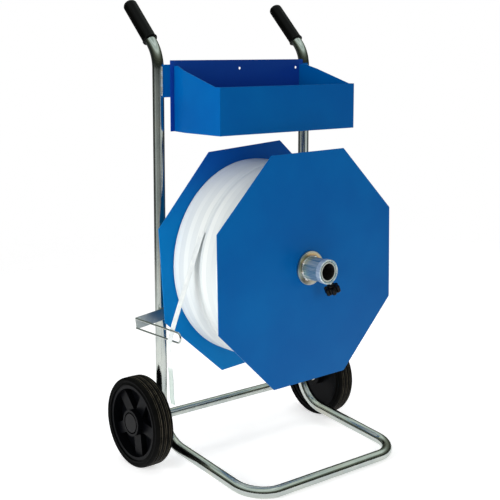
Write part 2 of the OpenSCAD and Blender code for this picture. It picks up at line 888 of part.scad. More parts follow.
// Collar with rounded edges on the end of the sleeve
module clamp_collar() {
    color("silver") difference() {
        at_reel(collar_face - collar_w) rotate_extrude()
            translate([sleeve_d / 2, 0]) intersection() {
                translate([-collar_t, 0]) round_corners(2 * collar_t, collar_w, collar_t - gap);
                square([collar_t, collar_w]);
            }
        stud_hole();
    }
}

module clamp_stud() {
    color("silver") at_stud(stud_tip_r) cylinder(d = stud_d, h = stud_head_r - stud_tip_r);
}

module star_knob() {
    lobe_r = knob_d / 2 - lobe_d / 2;
    color("black") at_stud() difference() {
        union() {
            translate([0, 0, knob_neck_r]) cylinder(d = knob_neck_d, h = knob_neck_t);
            translate([0, 0, knob_head_r]) linear_extrude(knob_head_t) {
                circle(r = lobe_r - 1);
                for (i = [0:knob_lobes - 1]) rotate((i + 0.5) * 360 / knob_lobes)
                    translate([lobe_r, 0]) circle(d = lobe_d);
            }
        }
        translate([0, 0, knob_neck_r - eps])
            cylinder(d = stud_d + 2 * fit, h = stud_head_r + gap - knob_neck_r + eps);
    }
}

frame_tube();
axle_cross_tube();
axle_rod();
wheel_spacers();
axle_washers();
axle_caps();
grip_left();
grip_right();
tray_back_panel();
tray_box();
tray_bracket_left();
tray_bracket_right();
tray_weld_beads();
tray_stud_nuts();
reel_cross_bar();
spindle_mount();
spindle_mount_bolts();
stub_axle();
spindle_spacer();
end_washer();
end_bolt();
guide_bar();
guide_wire();
strap_tail();
tyre_left();
tyre_right();
rim_left();
rim_right();
wheel_bearing_left();
wheel_bearing_right();
spindle_tube();
rear_bush();
front_bush();
back_plate();
back_flange();
back_weld_bead();
back_flange_bolts();
core_arms();
core_arm_bolts();
cardboard_core();
strap_coil();
front_plate();
front_flange();
hub_sleeve();
hub_weld_bead();
front_flange_studs();
clamp_collar();
clamp_stud();
star_knob();
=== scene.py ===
import math

import bmesh
import bpy
import numpy as np
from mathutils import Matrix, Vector


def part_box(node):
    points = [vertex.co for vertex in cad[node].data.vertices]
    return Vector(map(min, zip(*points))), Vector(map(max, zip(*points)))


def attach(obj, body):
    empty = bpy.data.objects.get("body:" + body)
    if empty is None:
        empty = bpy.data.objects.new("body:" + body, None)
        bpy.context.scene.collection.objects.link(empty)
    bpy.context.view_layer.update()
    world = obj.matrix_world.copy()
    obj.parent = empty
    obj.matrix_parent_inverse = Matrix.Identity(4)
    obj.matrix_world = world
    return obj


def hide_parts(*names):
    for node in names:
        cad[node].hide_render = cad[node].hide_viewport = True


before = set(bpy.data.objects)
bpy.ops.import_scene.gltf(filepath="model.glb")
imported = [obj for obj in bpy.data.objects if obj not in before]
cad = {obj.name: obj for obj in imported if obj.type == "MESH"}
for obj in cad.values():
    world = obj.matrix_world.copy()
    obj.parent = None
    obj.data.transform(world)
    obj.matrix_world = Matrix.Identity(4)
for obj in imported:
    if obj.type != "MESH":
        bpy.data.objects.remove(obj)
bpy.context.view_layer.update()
print("frame loaded:", len(cad), "nodes")


# Where things are, taken from the CAD
def middle(node):
    low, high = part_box(node)
    return np.array((low + high) / 2)


def extent(node):
    low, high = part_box(node)
    return np.array(high - low)


def sideName(side):
    return "left" if side < 0 else "right"


uprightY = middle("reel_cross_bar")[1]
reelMiddle = middle("strap_coil")
reelZ = float(reelMiddle[2])
xAxis, yAxis, zAxis = np.eye(3)

# Camera
cameraView = {
    "place": (-1.5401, -1.7808, 0.9160),
    "down": 7.85,  # degrees below level
    "turn": -39.7,
    "lens": 76.75,
    "shift": (0.0092, -0.110),
}


def makeCamera(v):
    data = bpy.data.cameras.new("camera")
    data.lens = v["lens"]
    data.sensor_width = 36
    data.shift_x, data.shift_y = v["shift"]
    data.clip_end = 200
    camera = bpy.data.objects.new("camera", data)
    camera.location = v["place"]
    camera.rotation_euler = (math.radians(90 - v["down"]), 0, math.radians(v["turn"]))
    bpy.context.scene.collection.objects.link(camera)
    bpy.context.scene.camera = camera


makeCamera(cameraView)
bpy.context.scene.view_settings.view_transform = "Standard"


# Shader maths
class Link:
    # A socket that can be used in sums; every sum adds its Math nodes.
    def __init__(self, finish, socket):
        self.finish, self.socket = finish, socket

    def __add__(self, other):
        return self.finish.number("ADD", self, other)

    def __radd__(self, other):
        return self.finish.number("ADD", other, self)

    def __sub__(self, other):
        return self.finish.number("SUBTRACT", self, other)

    def __rsub__(self, other):
        return self.finish.number("SUBTRACT", other, self)

    def __mul__(self, other):
        return self.finish.number("MULTIPLY", self, other)

    def __rmul__(self, other):
        return self.finish.number("MULTIPLY", other, self)

    def __truediv__(self, other):
        return self.finish.number("DIVIDE", self, other)

    def __rtruediv__(self, other):
        return self.finish.number("DIVIDE", other, self)

    def __abs__(self):
        return self.finish.number("ABSOLUTE", self)


class Finish:
    # A material, or the world, with one method that adds any node.
    def __init__(self, name, world=False):
        kind = bpy.data.worlds if world else bpy.data.materials
        self.block = kind.new(name)
        self.block.use_nodes = True
        self.tree = self.block.node_tree
        self.tree.nodes.clear()
        out = "ShaderNodeOutputWorld" if world else "ShaderNodeOutputMaterial"
        self.end = self.tree.nodes.new(out)

    def node(self, kind, settings=None, inputs=None, output=0):
        made = self.tree.nodes.new(kind)
        for key, value in (settings or {}).items():
            if key == "stops":
                self.setStops(made.color_ramp, value)
            else:
                setattr(made, key, value)
        pairs = inputs.items() if isinstance(inputs, dict) else enumerate(inputs or ())
        for key, value in pairs:
            if isinstance(value, Link):
                self.tree.links.new(value.socket, made.inputs[key])
            elif value is not None:
                colour = made.inputs[key].type == "RGBA" and len(value) == 3
                made.inputs[key].default_value = (*value, 1) if colour else value
        return Link(self, made.outputs[output]) if len(made.outputs) else made

    def setStops(self, ramp, stops):
        while len(ramp.elements) < len(stops):
            ramp.elements.new(1)
        for element, (place, colour) in zip(ramp.elements, stops):
            element.position = place
            element.color = (*colour, 1)

    def number(self, operation, *values, clamp=False):
        return self.node("ShaderNodeMath", {"operation": operation, "use_clamp": clamp}, values)

    def vector(self, operation, *values, output=0):
        return self.node("ShaderNodeVectorMath", {"operation": operation}, values, output)

    def place(self):
        return self.node("ShaderNodeTexCoord", output=3)

    def run(self, name):
        return self.node("ShaderNodeUVMap", {"uv_map": name})

    def parts(self, vector):
        split = self.node("ShaderNodeSeparateXYZ", None, [vector]).socket.node
        return [Link(self, s) for s in split.outputs]

    def join(self, x, y, z):
        return self.node("ShaderNodeCombineXYZ", None, [x, y, z])

    def noise(self, vector, scale, detail=3.0, rough=0.55, warp=0.0):
        return self.node(
            "ShaderNodeTexNoise",
            None,
            {"Vector": vector, "Scale": scale, "Detail": detail, "Roughness": rough,
             "Distortion": warp},
        )

    def step(self, value, low, high, start=0.0, stop=1.0):
        return self.node(
            "ShaderNodeMapRange",
            {"interpolation_type": "SMOOTHSTEP"},
            {"Value": value, "From Min": low, "From Max": high, "To Min": start, "To Max": stop},
        )

    def mix(self, share, a, b):
        return self.node("ShaderNodeMix", {"data_type": "RGBA"}, {0: share, 6: a, 7: b}, 2)

    def ramp(self, value, stops):
        return self.node("ShaderNodeValToRGB", {"stops": stops}, [value])

    def bump(self, height, distance, strength=1.0, normal=None):
        return self.node(
            "ShaderNodeBump", None,
            {"Height": height, "Distance": distance, "Strength": strength, "Normal": normal},
        )

    def surface(self, inputs):
        shader = self.node("ShaderNodeBsdfPrincipled", None, inputs)
        self.tree.links.new(shader.socket, self.end.inputs["Surface"])
        return self.block


# Surfaces
def gridFaces(rows, columns, closeRows=False, closeColumns=True):
    # Quads between neighbours of a grid of rows x columns points, numbered row by row.
    r = np.arange(rows if closeRows else rows - 1)[:, None]
    c = np.arange(columns if closeColumns else columns - 1)[None, :]
    up, right = (r + 1) % rows, (c + 1) % columns
    corners = [r * columns + c, r * columns + right, up * columns + right, up * columns + c]
    return np.stack(np.broadcast_arrays(*corners), -1).reshape(-1, 4)


def finishPiece(name, mesh, body, material, replaces=()):
    piece = bpy.data.objects.new(name, mesh)
    bpy.context.scene.collection.objects.link(piece)
    mesh.materials.clear()
    mesh.materials.append(material)
    if replaces:
        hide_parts(*replaces)
    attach(piece, body)
    return piece


def surfaceMesh(name, points, faces, caps=(), uv=None, sharp=None):
    # points: grid of rows x columns x 3; uv: the same grid's two numbers for each point.
    mesh = bpy.data.meshes.new(name)
    flat = points.reshape(-1, 3)
    mesh.from_pydata(flat.tolist(), [], faces.tolist() + [list(c) for c in caps])
    mesh.polygons.foreach_set("use_smooth", np.ones(len(mesh.polygons), bool))
    if uv is not None:
        corner = np.zeros(len(mesh.loops), int)
        mesh.loops.foreach_get("vertex_index", corner)
        values = uv.reshape(-1, 2)[corner]
        quads = values[: len(faces) * 4].reshape(-1, 4, 2)
        # across the seam a corner's first number goes on past 1 and doesn't fall back to 0
        wrapped = (quads[..., 0].max(1) - quads[..., 0].min(1)) > 0.5
        quads[..., 0] += (wrapped[:, None] & (quads[..., 0] < 0.5)).astype(float)
        layer = mesh.uv_layers.new(name="run")
        layer.data.foreach_set("uv", values.astype(np.float32).ravel())
    mesh.update()
    solid = bmesh.new()
    solid.from_mesh(mesh)
    bmesh.ops.remove_doubles(solid, verts=solid.verts, dist=1e-7)
    bmesh.ops.recalc_face_normals(solid, faces=solid.faces)
    solid.to_mesh(mesh)
    solid.free()
    if sharp:
        mesh.set_sharp_from_angle(angle=math.radians(sharp))
    return mesh


def turned(centre, axis, first, along, radius, angle):
    # Point = centre + along x axis + radius x (cos angle x first + sin angle x axis-cross-first).
    second = np.cross(axis, first)
    side = np.cos(angle)[..., None] * first + np.sin(angle)[..., None] * second
    return centre + along[..., None] * axis + radius[..., None] * side


def turnedPiece(name, body, material, centre, axis, first, profile, count, replaces,
                closed=True, shape=None, sharp=40):
    # A profile of (along, radius) points turned round an axis; shape(along, radius, angle)
    # gives the radius its change with the angle.
    along, radius = profile
    angle = np.arange(count) * 2 * math.pi / count
    a, t = np.meshgrid(along, angle, indexing="ij")
    r = np.broadcast_to(radius[:, None], a.shape)
    if shape:
        r = shape(a, r, t)
    points = turned(np.array(centre), axis, first, a, r, t)
    step = np.hypot(np.diff(along, prepend=along[0]), np.diff(radius, prepend=radius[0]))
    length = np.broadcast_to(np.cumsum(step)[:, None], a.shape)
    uv = np.stack([t / (2 * math.pi), length], -1)
    mesh = surfaceMesh(name, points, gridFaces(len(along), count, closed), (), uv, sharp)
    return finishPiece(name, mesh, body, material, replaces)


def line(start, direction, length, count):
    # Straight run: start + s x direction.
    s = np.linspace(0, length, count)[:, None]
    return start + s * direction, np.broadcast_to(direction, (count, 3))


def bend(start, direction, towards, radius, turn, count):
    # Arc that starts along direction and curves towards a unit vector at right angles to it.
    t = np.linspace(0, turn, count)[:, None]
    points = start + radius * (np.sin(t) * direction + (1 - np.cos(t)) * towards)
    return points, np.cos(t) * direction + np.sin(t) * towards


def sweptMesh(name, points, tangents, across, radius, count, sharp=60):
    # Circle of the radius carried along the points: across is one unit vector at right
    # angles to each tangent, and the second is their cross product.
    other = np.cross(across, tangents)
    angle = np.arange(count) * 2 * math.pi / count
    ring = np.cos(angle)[:, None] * other[:, None, :] + np.sin(angle)[:, None] * across[:, None, :]
    shell = points[:, None, :] + radius * ring
    step = np.linalg.norm(np.diff(points, axis=0, prepend=points[:1]), axis=1)
    length = np.broadcast_to(np.cumsum(step)[:, None], (len(points), count))
    uv = np.stack([np.broadcast_to(angle / (2 * math.pi), length.shape), length], -1)
    caps = [range(count), range((len(points) - 1) * count, len(points) * count)]
    return surfaceMesh(name, shell, gridFaces(len(points), count), caps, uv, sharp)


def softCopy(node, name, body, material, width=0.0004, segments=2, angle=35):
    # A copy of a CAD piece, its triangles merged into faces and its edges rounded.
    mesh = cad[node].data.copy()
    mesh.name = name
    solid = bmesh.new()
    solid.from_mesh(mesh)
    bmesh.ops.remove_doubles(solid, verts=solid.verts, dist=2e-6)
    bmesh.ops.dissolve_limit(
        solid, angle_limit=math.radians(0.3), verts=solid.verts, edges=solid.edges
    )
    bmesh.ops.recalc_face_normals(solid, faces=solid.faces)
    solid.to_mesh(mesh)
    solid.free()
    if "custom_normal" in mesh.attributes:
        mesh.attributes.remove(mesh.attributes["custom_normal"])
    mesh.polygons.foreach_set("use_smooth", np.ones(len(mesh.polygons), bool))
    mesh.set_sharp_from_angle(angle=math.radians(angle))
    piece = finishPiece(name, mesh, body, material, (node,))
    edge = piece.modifiers.new("edges", "BEVEL")
    edge.width, edge.segments = width, segments
    edge.limit_method, edge.angle_limit = "ANGLE", math.radians(angle)
    edge.harden_normals = True
    return piece


# Finishes
strapLook = {
    "colour": (0.76, 0.79, 0.77),
    "shade": (0.64, 0.68, 0.68),
    # painted shade of the hanging end
    "low": (0.40, 0.48, 0.44),
    # painted shade along the cut edges
    "edge": (0.20, 0.25, 0.23),
    "roughness": 0.36,
    "emboss": 0.00005,
    "diamondsAlong": 900,
    "diamondsAcross": 46,
    "hanging": (0.264, 0.250),  # heights between which painted shade turns it greyer
    "bandWidth": 0.0158,
    "bandDip": 0.0003,
}


def makeStrap(v):
    # The loose strap: a diamond embossing that follows the ribbon, and painted shade that
    # darkens its cut edges and greys its hanging end.
    f = Finish("whiteStrap")
    u, along, _ = f.parts(f.run("run"))
    rise = along * v["diamondsAlong"]
    turn = u * v["diamondsAcross"]
    crossed = f.number("SINE", rise + turn) * f.number("SINE", rise - turn)
    cloud = f.noise(f.place(), 60, 3)
    face = f.mix(f.step(cloud, 0.3, 0.7), v["shade"], v["colour"])
    # painted shade: greyer below the given heights, and darker edges, more so lower down
    hanging = f.step(f.parts(f.place())[2], *v["hanging"], 0.0, 0.85)
    edge = f.step(abs(u - 0.25), 0.19, 0.245) * (0.2 + 0.5 * hanging)
    colour = f.mix(edge, f.mix(hanging, face, v["low"]), v["edge"])
    return f.surface({
        "Base Color": colour,
        "Roughness": v["roughness"] + 0.12 * cloud,
        "Subsurface Weight": 0.15,
        "Subsurface Radius": (0.004, 0.004, 0.004),
        "Normal": f.bump(crossed, v["emboss"], 0.6),
    })


def makeWound(v):
    # The wound strap: turns lie side by side and climb one width in each turn; the seams between
    # them get painted shade.
    f = Finish("woundStrap")
    around, along, _ = f.parts(f.run("run"))
    wander = f.noise(f.join(around * 14, 0.0, 0.0), 1.0, 2)
    phase = along / v["bandWidth"] - around + wander * 0.25
    share = f.number("FRACT", phase)
    # painted shade: the seam between two turns takes the darker colour
    edge = f.step(f.number("MINIMUM", share, 1 - share), 0.0, 0.07)
    streak = f.noise(f.join(along * 900, around * 6, 0.0), 1.0, 3)
    band = f.noise(f.join(f.number("FLOOR", phase) * 7.3, around * 3, 0.0), 1.0, 1)
    light = f.mix(f.step(band, 0.3, 0.7), v["shade"], v["colour"])
    colour = f.mix(edge, v["shade"], light)
    height = edge * 1.0 + streak * 0.1 + band * 0.5
    return f.surface({
        "Base Color": colour,
        "Roughness": v["roughness"] + 0.14 * streak,
        "Subsurface Weight": 0.12,
        "Subsurface Radius": (0.006, 0.006, 0.006),
        "Normal": f.bump(height, v["bandDip"], 0.55),
    })


zincLook = {
    "light": (0.52, 0.55, 0.51),
    "dark": (0.42, 0.46, 0.44),
    "warm": (0.52, 0.49, 0.39),
    "roughness": 0.12,
    "scratch": 0.00001,
    "bore": 0.0181,  # radius where the spindle's bright outside begins
    "boreDark": (0.010, 0.009, 0.009),
    "seamShade": (0.02, 0.022, 0.02),
    "scratchScale": 420,
    "cloudScale": 38,
    "seam": 0.0222,  # radius of the painted shade ring between sleeve and spindle
    "sleeveLight": (0.60, 0.68, 0.66),
    "sleeveBlue": (0.20, 0.38, 0.46),
    "collarLight": (0.86, 0.92, 0.90),
    "collarDark": (0.62, 0.72, 0.74),
}


def zincColour(f, v, place, cloud):
    tint = f.noise(place, 9, 2, 0.5, 0.4)
    plain = f.mix(f.step(cloud, 0.32, 0.7), v["dark"], v["light"])
    return f.mix(f.step(tint, 0.56, 0.72, 0, 0.45), plain, v["warm"])


def makeTubeZinc(v):
    # Bright zinc on drawn tube: faint streaks that follow the tube, a little haze.
    f = Finish("zincTube")
    around, along, _ = f.parts(f.run("run"))
    streak = f.noise(f.join(around * 70, along * 5, 0.0), 1.0, 4)
    cloud = f.noise(f.join(around * 3, along * 14, 0.0), 1.0, 3)
    spots = f.noise(f.place(), 240, 2)
    return f.surface({
        "Base Color": zincColour(f, v, f.place(), cloud),
        "Metallic": 1.0,
        "Roughness": v["roughness"] + 0.06 * streak + 0.08 * f.step(spots, 0.5, 0.8),
        "Normal": f.bump(streak * 0.4 + spots * 0.3, v["scratch"], 0.4),
    })


def makeZinc(name, v, grain=(1.0, 1.0, 1.0), more=0.0):
    # Bright zinc on cut and turned pieces: grain stretches its fine scratches.
    f = Finish(name)
    place = f.place()
    long = f.vector("MULTIPLY", place, grain)
    scratch = f.noise(long, v["scratchScale"], 4, 0.6)
    cloud = f.noise(place, v["cloudScale"], 3)
    return f.surface({
        "Base Color": zincColour(f, v, place, cloud),
        "Metallic": 1.0,
        "Roughness": v["roughness"] + more + 0.12 * scratch + 0.06 * cloud,
        "Normal": f.bump(scratch, v["scratch"], 0.6),
    })


tintLook = {
    "weldRadius": 0.0262,  # from the reel's axis
    "straw": (0.72, 0.52, 0.24),
    "brown": (0.42, 0.26, 0.16),
    "blue": (0.34, 0.42, 0.56),
    "spread": 62,  # how quickly the rings follow each other
    "roughness": 0.24,
}


def makeHeatZinc(v, t):
    # Zinc round a weld: blue and brown by the bead, then straw, then the plain finish.
    f = Finish("heatTintedZinc")
    place = f.place()
    x, _, z = f.parts(f.vector("SUBTRACT", place, (0.0, 0.0, reelZ)))
    radius = f.number("SQRT", x * x + z * z)
    ragged = f.noise(place, 60, 3)
    away = (radius - t["weldRadius"]) * t["spread"] + (ragged - 0.5) * 0.5
    plain = zincColour(f, v, place, f.noise(place, v["cloudScale"], 3))
    rings = f.ramp(away, [
        (0.0, t["blue"]), (0.12, t["brown"]), (0.34, t["straw"]), (0.62, v["warm"]),
        (0.9, v["light"]),
    ])
    upper = f.step(z, -0.03, 0.03, 0.35, 0.95)
    colour = f.mix(f.step(away, 0.95, 0.25) * upper, plain, rings)
    scratch = f.noise(place, v["scratchScale"], 4, 0.6)
    return f.surface({
        "Base Color": colour,
        "Metallic": 1.0,
        "Roughness": t["roughness"] + 0.14 * scratch,
        "Normal": f.bump(scratch, v["scratch"], 0.6),
    })


weldLook = {
    "bright": (0.74, 0.77, 0.80),
    "bloomed": (0.58, 0.54, 0.46),
    "pit": (0.12, 0.10, 0.09),
    "pitDepth": 0.0002,
}


def makeWeld(v):
    # Weld metal: bright beads with small dark pits and a straw bloom.
    f = Finish("weldMetal")
    place = f.place()
    pits = f.noise(place, 520, 3)
    bloom = f.noise(place, 130, 2)
    colour = f.mix(f.step(bloom, 0.4, 0.65), v["bright"], v["bloomed"])
    return f.surface({
        "Base Color": f.mix(f.step(pits, 0.62, 0.74), colour, v["pit"]),
        "Metallic": 1.0,
        "Roughness": 0.2 + 0.3 * pits,
        "Normal": f.bump(pits, v["pitDepth"], 0.6),
    })


paintLook = {
    "colour": (0.0, 0.106, 0.355),
    "deep": (0.0, 0.084, 0.315),
    "roughness": 0.26,
    "peel": 0.00004,
    "specular": 0.45,
    "sheen": (0.0, 0.42, 0.75),
    "dust": (0.03, 0.16, 0.34),
    "peelScale": 750,
    "cloudScale": 5,
    "rubScale": 46,
    # lighter copy for the back plate: painted light from the left
    "bright": (0.0, 0.165, 0.47),
    "paintedLightDeep": (0.0, 0.145, 0.43),
    # painted shade on the back plate's top, under the tray
    "upper": (0.003, 0.075, 0.345),
    "paintedShadeHeights": (0.52, 0.68),  # heights of the back plate's painted shade at its top
    # darker copy for the tray's back panel: painted shade inside the tray
    "paintedShadeNavy": (0.006, 0.048, 0.31),
    "paintedShadeNavyDeep": (0.006, 0.042, 0.29),
}


def makePaint(name, v, colour, deep, paintedShadeHeights=None):
    # Blue powder coat: fine orange peel, a slow change of shade, a little dust and handling.
    # The last argument gives the heights between which it passes to the painted shade of the upper
    # part.
    f = Finish(name)
    place = f.place()
    peel = f.noise(place, v["peelScale"], 2, 0.4)
    cloud = f.noise(place, v["cloudScale"], 3)
    rubbed = f.noise(place, v["rubScale"], 4, 0.65, 0.3)
    shade = f.mix(f.step(cloud, 0.3, 0.7), deep, colour)
    if paintedShadeHeights:
        height = f.parts(place)[2]
        # painted shade towards the top
        shade = f.mix(f.step(height, *paintedShadeHeights), shade, v["upper"])
    dust = f.step(rubbed, 0.6, 0.8, 0, 0.02)
    return f.surface({
        "Base Color": f.mix(dust, shade, v["dust"]),
        "Roughness": v["roughness"] + 0.10 * rubbed + 0.04 * peel,
        "Specular IOR Level": v["specular"],
        "Specular Tint": v["sheen"],
        "Normal": f.bump(peel, v["peel"], 0.5),
    })


rubberLook = {
    "colour": (0.0012, 0.0013, 0.0013),
    "dust": (0.004, 0.0037, 0.003),
    "rubbed": (0.085, 0.075, 0.055),
    "roughness": 0.52,
    "specular": 0.04,
    "grain": 0.00012,
    "ribPitch": 0.01125,
    "ribEdge": 0.0021,  # from the middle of a groove
}


def makeRubber(v):
    # Tyre rubber: dusty on the tread's edges, darker on the walls.
    f = Finish("tyreRubber")
    place = f.place()
    x, y, z = f.parts(f.vector("SUBTRACT", place, (0.0, float(middle("tyre_left")[1]), 0.1)))
    radius = f.number("SQRT", y * y + z * z)
    grain = f.noise(place, 900, 3)
    smear = f.noise(place, 55, 4, 0.6, 0.5)
    tread = f.step(radius, 0.0955, 0.0985)
    inward = abs(abs(x) - abs(middle("tyre_left")[0]))
    share = inward / v["ribPitch"]
    fromGroove = abs(share - f.number("ROUND", share)) * v["ribPitch"]
    edge = f.step(abs(fromGroove - v["ribEdge"]), 0.0007, 0.0002) * f.step(inward, 0.0165, 0.0150)
    worn = tread * f.step(smear, 0.35, 0.7, 0.2, 0.8)
    rubbed = tread * edge * f.step(smear, 0.30, 0.62, 0.25, 1.0)
    rings = f.number("SINE", radius * 3600) * 0.5 + 0.5
    return f.surface({
        "Base Color": f.mix(rubbed, f.mix(worn, v["colour"], v["dust"]), v["rubbed"]),
        "Roughness": v["roughness"] + 0.16 * smear,
        "Specular IOR Level": v["specular"],
        "Normal": f.bump(grain + rings * 0.15, v["grain"], 0.6),
    })


blackLook = {
    "rimPlastic": {
        "colour": (0.0016, 0.0018, 0.0024), "roughness": 0.26, "grain": 800, "depth": 0.00003,
        "specular": 0.06,
    },
    "knobPlastic": {
        "colour": (0.0010, 0.0010, 0.0012), "roughness": 0.16, "grain": 1200, "depth": 0.00002,
        "specular": 0.15,
    },
    "gripVinyl": {
        "colour": (0.0010, 0.0010, 0.0010), "roughness": 0.26, "grain": 1100, "depth": 0.00003,
        "specular": 0.10,
    },
    "blackSteel": {
        "colour": (0.0016, 0.0017, 0.0022), "roughness": 0.24, "grain": 600, "depth": 0.00003,
        "specular": 0.10,
    },
    "darkSteel": {
        "colour": (0.014, 0.013, 0.013), "roughness": 0.45, "grain": 500, "depth": 0.00004,
        "specular": 0.2,
    },
}


def makeBlack(name, v):
    # Black plastic, vinyl or steel: fine grain and a faint bloom.
    f = Finish(name)
    place = f.place()
    fine = f.noise(place, v["grain"], 3, 0.6)
    bloom = f.noise(place, 30, 3)
    pale = tuple(c * 1.8 for c in v["colour"])
    return f.surface({
        "Base Color": f.mix(f.step(bloom, 0.35, 0.75, 0, 0.6), v["colour"], pale),
        "Roughness": v["roughness"] + 0.12 * bloom + 0.05 * fine,
        "Specular IOR Level": v["specular"],
        "Normal": f.bump(fine, v["depth"], 0.5),
    })


nylonLook = {
    "light": (0.80, 0.78, 0.70),
    "dark": (0.70, 0.67, 0.57),
    "roughness": 0.42,
}


def makeNylon(v):
    # Cream nylon of the bushes and bearings.
    f = Finish("bushNylon")
    place = f.place()
    cloud = f.noise(place, 90, 3)
    return f.surface({
        "Base Color": f.mix(f.step(cloud, 0.3, 0.7), v["dark"], v["light"]),
        "Roughness": v["roughness"] + 0.1 * cloud,
        "Subsurface Weight": 0.1,
        "Normal": f.bump(cloud, 0.00004, 0.4),
    })


boardLook = {
    "light": (0.50, 0.37, 0.24),
    "dark": (0.36, 0.25, 0.15),
    "seam": (0.22, 0.15, 0.09),
    "seamPitch": 0.06,
    "roughness": 0.8,
}


def makeBoard(v):
    # Wound brown board: slanting seams and short fibres.
    f = Finish("cardboard")
    place = f.place()
    x, y, z = f.parts(f.vector("SUBTRACT", place, (0.0, 0.0, reelZ)))
    angle = f.number("ARCTAN2", z, x) / (2 * math.pi)
    seam = f.number("FRACT", y / v["seamPitch"] + angle)
    beside = f.step(f.number("MINIMUM", seam, 1 - seam), 0.0, 0.03)
    fibre = f.noise(f.vector("MULTIPLY", place, (1.0, 0.25, 1.0)), 520, 4, 0.7)
    shade = f.mix(f.step(fibre, 0.3, 0.7), v["dark"], v["light"])
    return f.surface({
        "Base Color": f.mix(beside, v["seam"], shade),
        "Roughness": v["roughness"] + 0.1 * fibre,
        "Normal": f.bump(fibre + beside, 0.0002, 0.5),
    })


def makeSpindleZinc(v):
    # Bright outside; the bore is near-black and not metallic.
    f = Finish("spindleZinc")
    place = f.place()
    x, _, z = f.parts(f.vector("SUBTRACT", place, (0.0, 0.0, reelZ)))
    radius = f.number("SQRT", x * x + z * z)
    outside = f.step(radius, v["bore"], v["bore"] + 0.0003)
    scratch = f.noise(place, v["scratchScale"], 4, 0.6)
    plain = zincColour(f, v, place, f.noise(place, v["cloudScale"], 3))
    return f.surface({
        "Base Color": f.mix(outside, v["boreDark"], plain),
        "Metallic": outside,
        "Roughness": (1 - outside) * 0.5 + v["roughness"] + 0.12 * scratch,
        "Normal": f.bump(scratch, v["scratch"], 0.6),
    })


def makeSleeveZinc(name, v, dark, light):
    # Zinc drawn lengthwise and a little dulled, so that it takes light from every side;
    # the seam between it and the spindle gets painted shade.
    f = Finish(name)
    place = f.place()
    x, _, z = f.parts(f.vector("SUBTRACT", place, (0.0, 0.0, reelZ)))
    radius = f.number("SQRT", x * x + z * z)
    streak = f.noise(f.vector("MULTIPLY", place, (1.0, 0.06, 1.0)), 230, 4, 0.6)
    # painted shade inside the seam radius
    outside = f.step(radius, v["seam"], v["seam"] + 0.0004)
    colour = f.mix(f.step(streak, 0.38, 0.62), dark, light)
    return f.surface({
        "Base Color": f.mix(outside, v["seamShade"], colour),
        "Metallic": 0.72 * outside,
        "Roughness": 0.24 + 0.22 * streak,
        "Normal": f.bump(streak, 0.00008, 0.5),
    })


strapFinish = makeStrap(strapLook)
woundFinish = makeWound(strapLook)
tubeZinc = makeTubeZinc(zincLook)
plainZinc = makeZinc("brightZinc", zincLook)
spindleZinc = makeSpindleZinc(zincLook)
drawnZinc = makeZinc("crossTubeZinc", zincLook, (0.06, 1.0, 1.0))
dullZinc = makeZinc("dullZinc", zincLook, (1.0, 1.0, 1.0), 0.20)
sleeveZinc = makeSleeveZinc("sleeveZinc", zincLook, zincLook["sleeveBlue"], zincLook["sleeveLight"])
collarZinc = makeSleeveZinc("collarZinc", zincLook, zincLook["collarDark"], zincLook["collarLight"])
heatZinc = makeHeatZinc(zincLook, tintLook)
weldFinish = makeWeld(weldLook)
paint = makePaint("bluePaint", paintLook, paintLook["colour"], paintLook["deep"])
# the back plate: a lighter copy with painted light, and painted shade at its top
backPaintLitAndShaded = makePaint(
    "backPaintLitAndShaded", paintLook, paintLook["bright"], paintLook["paintedLightDeep"], paintLook["paintedShadeHeights"]
)
# the tray's back panel: a darker copy with painted shade
trayShadePaint = makePaint("trayBackShadePaint", paintLook, paintLook["paintedShadeNavy"], paintLook["paintedShadeNavyDeep"])
rubber = makeRubber(rubberLook)
rimPlastic, knobPlastic, gripVinyl, capSteel, darkSteel = (
    makeBlack(name, look) for name, look in blackLook.items()
)
nylon = makeNylon(nylonLook)
board = makeBoard(boardLook)
print("finishes made")

# Loose end of the strap
tailLook = {
    "width": 0.0155,
    "thickness": 0.0008,
    "route": [
        (-0.205, 0.534), (-0.213, 0.515), (-0.221, 0.496), (-0.229, 0.477), (-0.237, 0.457),
        (-0.245, 0.437), (-0.253, 0.417), (-0.261, 0.397), (-0.269, 0.377), (-0.277, 0.357),
        (-0.283, 0.341), (-0.288, 0.326), (-0.292, 0.313), (-0.294, 0.299), (-0.2935, 0.285),
        (-0.292, 0.271), (-0.2905, 0.257), (-0.289, 0.243), (-0.288, 0.229), (-0.2875, 0.215),
        (-0.287, 0.201), (-0.286, 0.189), (-0.284, 0.178),
    ],
    "y": -0.032,
    "length": 0.373,
    "camber": 0.0005,
    "around": 40,
}


def smoothRoute(points, each):
    # Curve through the points: the usual four-point cubic between each two of them.
    p = np.vstack([2 * points[0] - points[1], points, 2 * points[-1] - points[-2]])
    a, b, c, d = (p[i : len(p) - 3 + i, None, :] for i in range(4))
    t = np.linspace(0, 1, each, endpoint=False)[None, :, None]
    cubic = 0.5 * (
        2 * b + (c - a) * t + (2 * a - 5 * b + 4 * c - d) * t**2 + (3 * b - a - 3 * c + d) * t**3
    )
    return np.vstack([cubic.reshape(-1, 3), points[-1]])


